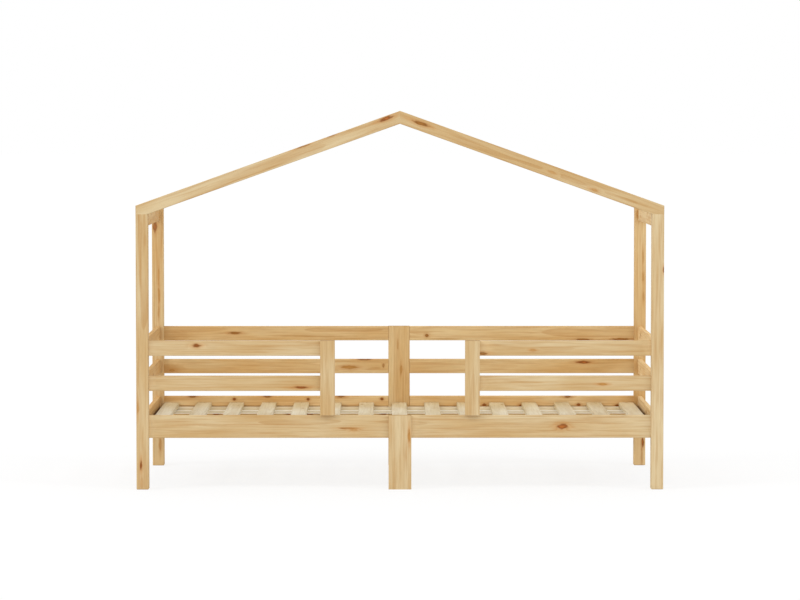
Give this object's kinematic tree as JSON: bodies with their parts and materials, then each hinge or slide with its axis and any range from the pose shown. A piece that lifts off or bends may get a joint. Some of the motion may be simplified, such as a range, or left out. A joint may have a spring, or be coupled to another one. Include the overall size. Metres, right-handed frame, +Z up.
{
  "type": "house frame bed",
  "caption": "Child's single bed in solid pine: slatted base, low guard boards with a front gap to climb in, and a house-shaped frame of posts, rafters and ridge beam.",
  "frame": {"origin": "on the floor, under the middle of the bed's footprint", "axes": "+X along the bed's length, to the right seen from the entrance side; +Y from the entrance side to the rear; +Z up"},
  "size_m": [2.08, 0.98, 1.4932],
  "materials": {
    "pine": "planed and clear lacquered, satin",
    "pale_pine": "planed, unfinished",
    "zinc_steel": "zinc plated"
  },
  "bodies": {
    "root": {"board_screws": "zinc_steel", "front_centre_leg": "pine", "front_cleat": "pale_pine", "front_left_lower_guard": "pine", "front_left_post": "pine", "front_left_rafter": "pine", "front_left_rail": "pine", "front_left_upper_guard": "pine", "front_right_lower_guard": "pine", "front_right_post": "pine", "front_right_rafter": "pine", "front_right_rail": "pine", "front_right_upper_guard": "pine", "front_slat_strip": "pale_pine", "left_cleat": "pale_pine", "left_end_rail": "pine", "left_guard_post": "pine", "left_lower_end_board": "pine", "left_top_beam": "pine", "left_upper_end_board": "pine", "rafter_screws": "zinc_steel", "rail_bolts": "zinc_steel", "rail_nuts": "zinc_steel", "rear_centre_post": "pine", "rear_cleat": "pale_pine", "rear_left_lower_board": "pine", "rear_left_post": "pine", "rear_left_rafter": "pine", "rear_left_rail": "pine", "rear_left_upper_board": "pine", "rear_right_lower_board": "pine", "rear_right_post": "pine", "rear_right_rafter": "pine", "rear_right_rail": "pine", "rear_right_upper_board": "pine", "rear_slat_strip": "pale_pine", "ridge_beam": "pine", "ridge_keys": "pale_pine", "right_cleat": "pale_pine", "right_end_rail": "pine", "right_guard_post": "pine", "right_lower_end_board": "pine", "right_top_beam": "pine", "right_upper_end_board": "pine", "slat_01": "pale_pine", "slat_02": "pale_pine", "slat_03": "pale_pine", "slat_04": "pale_pine", "slat_05": "pale_pine", "slat_06": "pale_pine", "slat_07": "pale_pine", "slat_08": "pale_pine", "slat_09": "pale_pine", "slat_10": "pale_pine", "slat_11": "pale_pine", "slat_12": "pale_pine", "slat_13": "pale_pine", "slat_14": "pale_pine", "slat_15": "pale_pine"}
  },
  "joints": []
}
